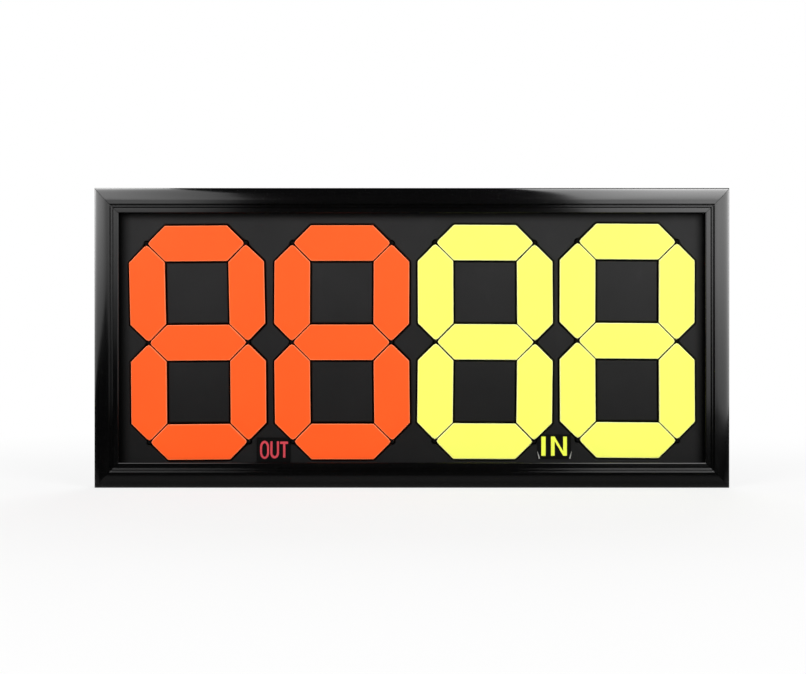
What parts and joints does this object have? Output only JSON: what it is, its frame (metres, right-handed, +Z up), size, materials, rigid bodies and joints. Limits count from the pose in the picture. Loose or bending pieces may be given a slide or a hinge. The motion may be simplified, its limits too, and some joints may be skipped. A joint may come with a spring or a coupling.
{
  "type": "substitution board",
  "caption": "Framed hand-held number board whose digits are set by turning over vanes with a coloured and a black face, to show which player goes out and which comes in.",
  "frame": {"origin": "middle of the underside of the bottom rail, halfway through the depth", "axes": "+X along the board to the right of a viewer who faces it, +Y from the face to the back, +Z up"},
  "size_m": [0.635, 0.034, 0.3],
  "materials": {
    "moulding": "glossy black",
    "fascia": "matte charcoal",
    "carrier": "matte charcoal",
    "back_panel": "fine-grained matte black",
    "spacer": "matte black",
    "corner_key": "plain",
    "back_screw": "plated",
    "label": "satin black",
    "vane_orange": "fluorescent orange face, black back",
    "vane_yellow": "fluorescent yellow face, black back"
  },
  "bodies": {
    "board": {"rail_bottom": "moulding", "rail_top": "moulding", "rail_left": "moulding", "rail_right": "moulding", "corner_key_bottom_left": "corner_key", "corner_key_bottom_right": "corner_key", "corner_key_top_right": "corner_key", "corner_key_top_left": "corner_key", "back_panel": "back_panel", "back_screw_1": "back_screw", "back_screw_2": "back_screw", "back_screw_3": "back_screw", "back_screw_4": "back_screw", "back_screw_5": "back_screw", "back_screw_6": "back_screw", "back_screw_7": "back_screw", "back_screw_8": "back_screw", "spacer_bottom": "spacer", "spacer_top": "spacer", "spacer_left": "spacer", "spacer_right": "spacer", "divider_1": "spacer", "divider_2": "spacer", "divider_3": "spacer", "fascia_panel": "fascia", "carrier_out_tens": "carrier", "carrier_out_units": "carrier", "carrier_in_tens": "carrier", "carrier_in_units": "carrier", "label_out": "label", "label_in": "label"},
    "vane_out_tens_top": {"vane_out_tens_top": "vane_orange"},
    "vane_out_tens_upper_left": {"vane_out_tens_upper_left": "vane_orange"},
    "vane_out_tens_upper_right": {"vane_out_tens_upper_right": "vane_orange"},
    "vane_out_tens_middle": {"vane_out_tens_middle": "vane_orange"},
    "vane_out_tens_lower_left": {"vane_out_tens_lower_left": "vane_orange"},
    "vane_out_tens_lower_right": {"vane_out_tens_lower_right": "vane_orange"},
    "vane_out_tens_bottom": {"vane_out_tens_bottom": "vane_orange"},
    "vane_out_units_top": {"vane_out_units_top": "vane_orange"},
    "vane_out_units_upper_left": {"vane_out_units_upper_left": "vane_orange"},
    "vane_out_units_upper_right": {"vane_out_units_upper_right": "vane_orange"},
    "vane_out_units_middle": {"vane_out_units_middle": "vane_orange"},
    "vane_out_units_lower_left": {"vane_out_units_lower_left": "vane_orange"},
    "vane_out_units_lower_right": {"vane_out_units_lower_right": "vane_orange"},
    "vane_out_units_bottom": {"vane_out_units_bottom": "vane_orange"},
    "vane_in_tens_top": {"vane_in_tens_top": "vane_yellow"},
    "vane_in_tens_upper_left": {"vane_in_tens_upper_left": "vane_yellow"},
    "vane_in_tens_upper_right": {"vane_in_tens_upper_right": "vane_yellow"},
    "vane_in_tens_middle": {"vane_in_tens_middle": "vane_yellow"},
    "vane_in_tens_lower_left": {"vane_in_tens_lower_left": "vane_yellow"},
    "vane_in_tens_lower_right": {"vane_in_tens_lower_right": "vane_yellow"},
    "vane_in_tens_bottom": {"vane_in_tens_bottom": "vane_yellow"},
    "vane_in_units_top": {"vane_in_units_top": "vane_yellow"},
    "vane_in_units_upper_left": {"vane_in_units_upper_left": "vane_yellow"},
    "vane_in_units_upper_right": {"vane_in_units_upper_right": "vane_yellow"},
    "vane_in_units_middle": {"vane_in_units_middle": "vane_yellow"},
    "vane_in_units_lower_left": {"vane_in_units_lower_left": "vane_yellow"},
    "vane_in_units_lower_right": {"vane_in_units_lower_right": "vane_yellow"},
    "vane_in_units_bottom": {"vane_in_units_bottom": "vane_yellow"}
  },
  "joints": [
    {"name": "flip_out_tens_top", "type": "hinge", "parent": "board", "child": "vane_out_tens_top", "pos_m": [-0.2153, -0.0095, 0.2442], "axis": [1, 0, 0.0081], "range_deg": [0, 180]},
    {"name": "flip_out_tens_upper_left", "type": "hinge", "parent": "board", "child": "vane_out_tens_upper_left", "pos_m": [-0.2637, -0.0095, 0.1943], "axis": [0.0222, 0, -0.9998], "range_deg": [0, 180]},
    {"name": "flip_out_tens_upper_right", "type": "hinge", "parent": "board", "child": "vane_out_tens_upper_right", "pos_m": [-0.1647, -0.0095, 0.1951], "axis": [0.0222, 0, -0.9998], "range_deg": [0, 180]},
    {"name": "flip_out_tens_middle", "type": "hinge", "parent": "board", "child": "vane_out_tens_middle", "pos_m": [-0.2131, -0.0095, 0.1452], "axis": [1, 0, 0.0081], "range_deg": [0, 180]},
    {"name": "flip_out_tens_lower_left", "type": "hinge", "parent": "board", "child": "vane_out_tens_lower_left", "pos_m": [-0.2622, -0.0095, 0.0953], "axis": [0.0081, 0, -1], "range_deg": [0, 180]},
    {"name": "flip_out_tens_lower_right", "type": "hinge", "parent": "board", "child": "vane_out_tens_lower_right", "pos_m": [-0.1632, -0.0095, 0.0961], "axis": [0.0081, 0, -1], "range_deg": [0, 180]},
    {"name": "flip_out_tens_bottom", "type": "hinge", "parent": "board", "child": "vane_out_tens_bottom", "pos_m": [-0.2123, -0.0095, 0.0462], "axis": [1, 0, 0.0081], "range_deg": [0, 180]},
    {"name": "flip_out_units_top", "type": "hinge", "parent": "board", "child": "vane_out_units_top", "pos_m": [-0.0697, -0.0095, 0.2446], "axis": [1, 0, 0], "range_deg": [0, 180]},
    {"name": "flip_out_units_upper_left", "type": "hinge", "parent": "board", "child": "vane_out_units_upper_left", "pos_m": [-0.11945, -0.0095, 0.1951], "axis": [-0.0051, 0, -1], "range_deg": [0, 180]},
    {"name": "flip_out_units_upper_right", "type": "hinge", "parent": "board", "child": "vane_out_units_upper_right", "pos_m": [-0.02045, -0.0095, 0.1951], "axis": [-0.0051, 0, -1], "range_deg": [0, 180]},
    {"name": "flip_out_units_middle", "type": "hinge", "parent": "board", "child": "vane_out_units_middle", "pos_m": [-0.0702, -0.0095, 0.1456], "axis": [1, 0, 0], "range_deg": [0, 180]},
    {"name": "flip_out_units_lower_left", "type": "hinge", "parent": "board", "child": "vane_out_units_lower_left", "pos_m": [-0.11915, -0.0095, 0.0961], "axis": [0.0111, 0, -0.9999], "range_deg": [0, 180]},
    {"name": "flip_out_units_lower_right", "type": "hinge", "parent": "board", "child": "vane_out_units_lower_right", "pos_m": [-0.02015, -0.0095, 0.0961], "axis": [0.0111, 0, -0.9999], "range_deg": [0, 180]},
    {"name": "flip_out_units_bottom", "type": "hinge", "parent": "board", "child": "vane_out_units_bottom", "pos_m": [-0.0691, -0.0095, 0.0466], "axis": [1, 0, 0], "range_deg": [0, 180]},
    {"name": "flip_in_tens_top", "type": "hinge", "parent": "board", "child": "vane_in_tens_top", "pos_m": [0.0728, -0.0095, 0.24495], "axis": [1, 0, -0.0051], "range_deg": [0, 180]},
    {"name": "flip_in_tens_upper_left", "type": "hinge", "parent": "board", "child": "vane_in_tens_upper_left", "pos_m": [0.0236, -0.0095, 0.1957], "axis": [0.0061, 0, -1], "range_deg": [0, 180]},
    {"name": "flip_in_tens_upper_right", "type": "hinge", "parent": "board", "child": "vane_in_tens_upper_right", "pos_m": [0.1226, -0.0095, 0.1952], "axis": [0.0061, 0, -1], "range_deg": [0, 180]},
    {"name": "flip_in_tens_middle", "type": "hinge", "parent": "board", "child": "vane_in_tens_middle", "pos_m": [0.0734, -0.0095, 0.14595], "axis": [1, 0, -0.0051], "range_deg": [0, 180]},
    {"name": "flip_in_tens_lower_left", "type": "hinge", "parent": "board", "child": "vane_in_tens_lower_left", "pos_m": [0.0233, -0.0095, 0.0967], "axis": [-0.0121, 0, -0.9999], "range_deg": [0, 180]},
    {"name": "flip_in_tens_lower_right", "type": "hinge", "parent": "board", "child": "vane_in_tens_lower_right", "pos_m": [0.1223, -0.0095, 0.0962], "axis": [-0.0121, 0, -0.9999], "range_deg": [0, 180]},
    {"name": "flip_in_tens_bottom", "type": "hinge", "parent": "board", "child": "vane_in_tens_bottom", "pos_m": [0.0722, -0.0095, 0.04695], "axis": [1, 0, -0.0051], "range_deg": [0, 180]},
    {"name": "flip_in_units_top", "type": "hinge", "parent": "board", "child": "vane_in_units_top", "pos_m": [0.2148, -0.0095, 0.24605], "axis": [1, 0, -0.0071], "range_deg": [0, 180]},
    {"name": "flip_in_units_upper_left", "type": "hinge", "parent": "board", "child": "vane_in_units_upper_left", "pos_m": [0.16515, -0.0095, 0.1969], "axis": [-0.003, 0, -1], "range_deg": [0, 180]},
    {"name": "flip_in_units_upper_right", "type": "hinge", "parent": "board", "child": "vane_in_units_upper_right", "pos_m": [0.26415, -0.0095, 0.1962], "axis": [-0.003, 0, -1], "range_deg": [0, 180]},
    {"name": "flip_in_units_middle", "type": "hinge", "parent": "board", "child": "vane_in_units_middle", "pos_m": [0.2145, -0.0095, 0.14705], "axis": [1, 0, -0.0071], "range_deg": [0, 180]},
    {"name": "flip_in_units_lower_left", "type": "hinge", "parent": "board", "child": "vane_in_units_lower_left", "pos_m": [0.1653, -0.0095, 0.0979], "axis": [0.0061, 0, -1], "range_deg": [0, 180]},
    {"name": "flip_in_units_lower_right", "type": "hinge", "parent": "board", "child": "vane_in_units_lower_right", "pos_m": [0.2643, -0.0095, 0.0972], "axis": [0.0061, 0, -1], "range_deg": [0, 180]},
    {"name": "flip_in_units_bottom", "type": "hinge", "parent": "board", "child": "vane_in_units_bottom", "pos_m": [0.2151, -0.0095, 0.04805], "axis": [1, 0, -0.0071], "range_deg": [0, 180]}
  ]
}
